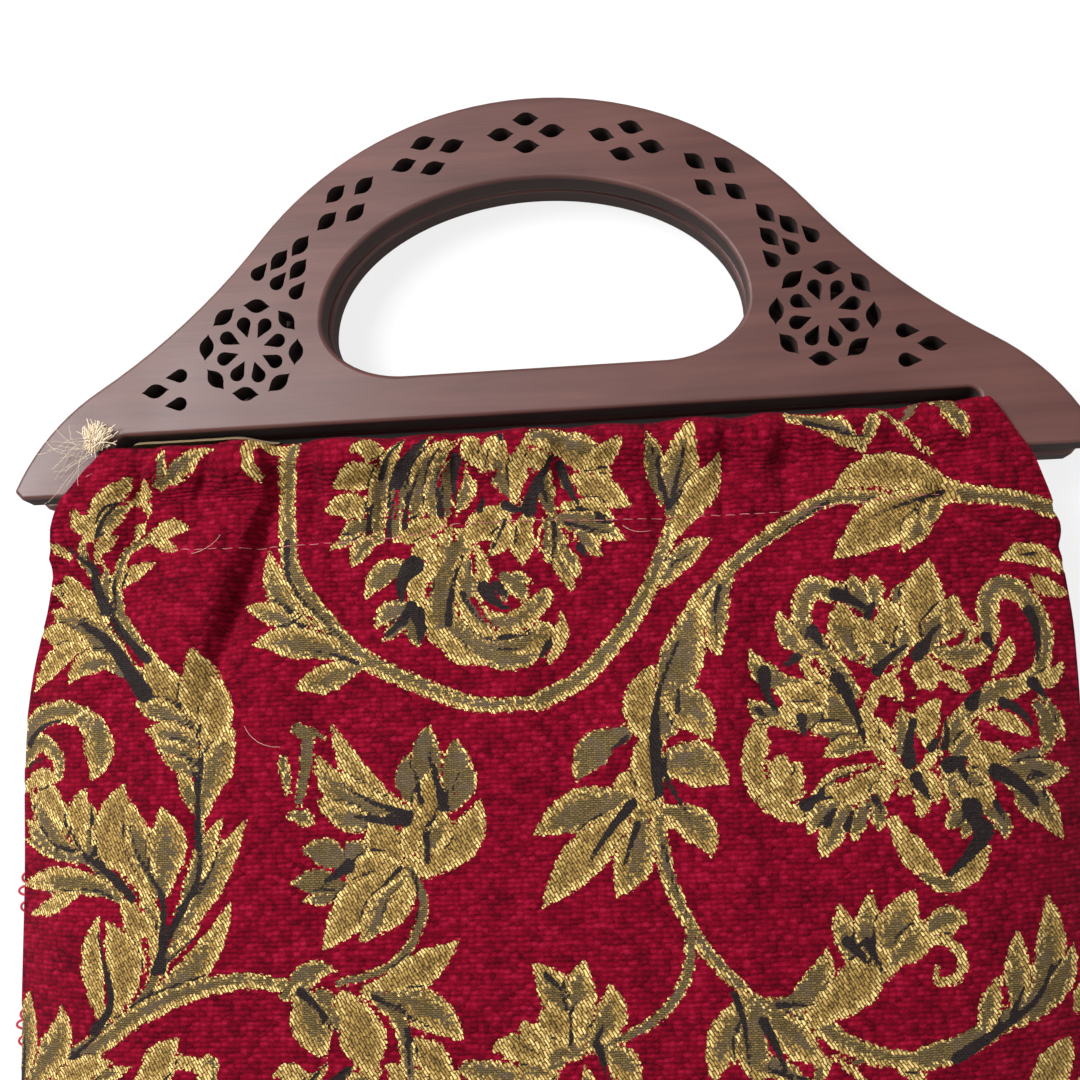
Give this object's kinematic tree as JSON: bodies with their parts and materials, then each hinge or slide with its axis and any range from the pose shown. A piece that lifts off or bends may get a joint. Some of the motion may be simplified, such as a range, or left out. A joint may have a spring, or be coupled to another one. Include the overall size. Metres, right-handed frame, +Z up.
{
  "type": "wooden-handled tapestry handbag",
  "caption": "Soft flat handbag of crimson tapestry cloth, gathered on rods under a pair of arched, pierced wooden handles that swing apart to open it.",
  "frame": {"origin": "middle of the underside of the bag as it lies on its back", "axes": "+X to the right along the handles, +Y towards the top of the handles, +Z up out of the front panel"},
  "size_m": [0.2996, 0.369, 0.0282],
  "materials": {
    "handle_wood": "satin dark stain, worn to grey-brown",
    "rod_wood": "plain turned dowel",
    "tapestry": "ribbed chenille tapestry with a gold and charcoal floral scroll"
  },
  "bodies": {
    "bag": {"front_panel": "tapestry", "back_panel": "tapestry"},
    "front_handle": {"front_handle": "handle_wood", "front_rod": "rod_wood"},
    "back_handle": {"back_handle": "handle_wood", "back_rod": "rod_wood"}
  },
  "joints": [
    {"name": "front_handle_swing", "type": "hinge", "parent": "bag", "child": "front_handle", "pos_m": [0, 0.0805, 0.02005], "axis": [1, 0, 0], "range_deg": [0, 150]},
    {"name": "back_handle_swing", "type": "hinge", "parent": "bag", "child": "back_handle", "pos_m": [0, 0.0805, 0.00425], "axis": [-1, 0, 0], "range_deg": [0, 145]}
  ]
}
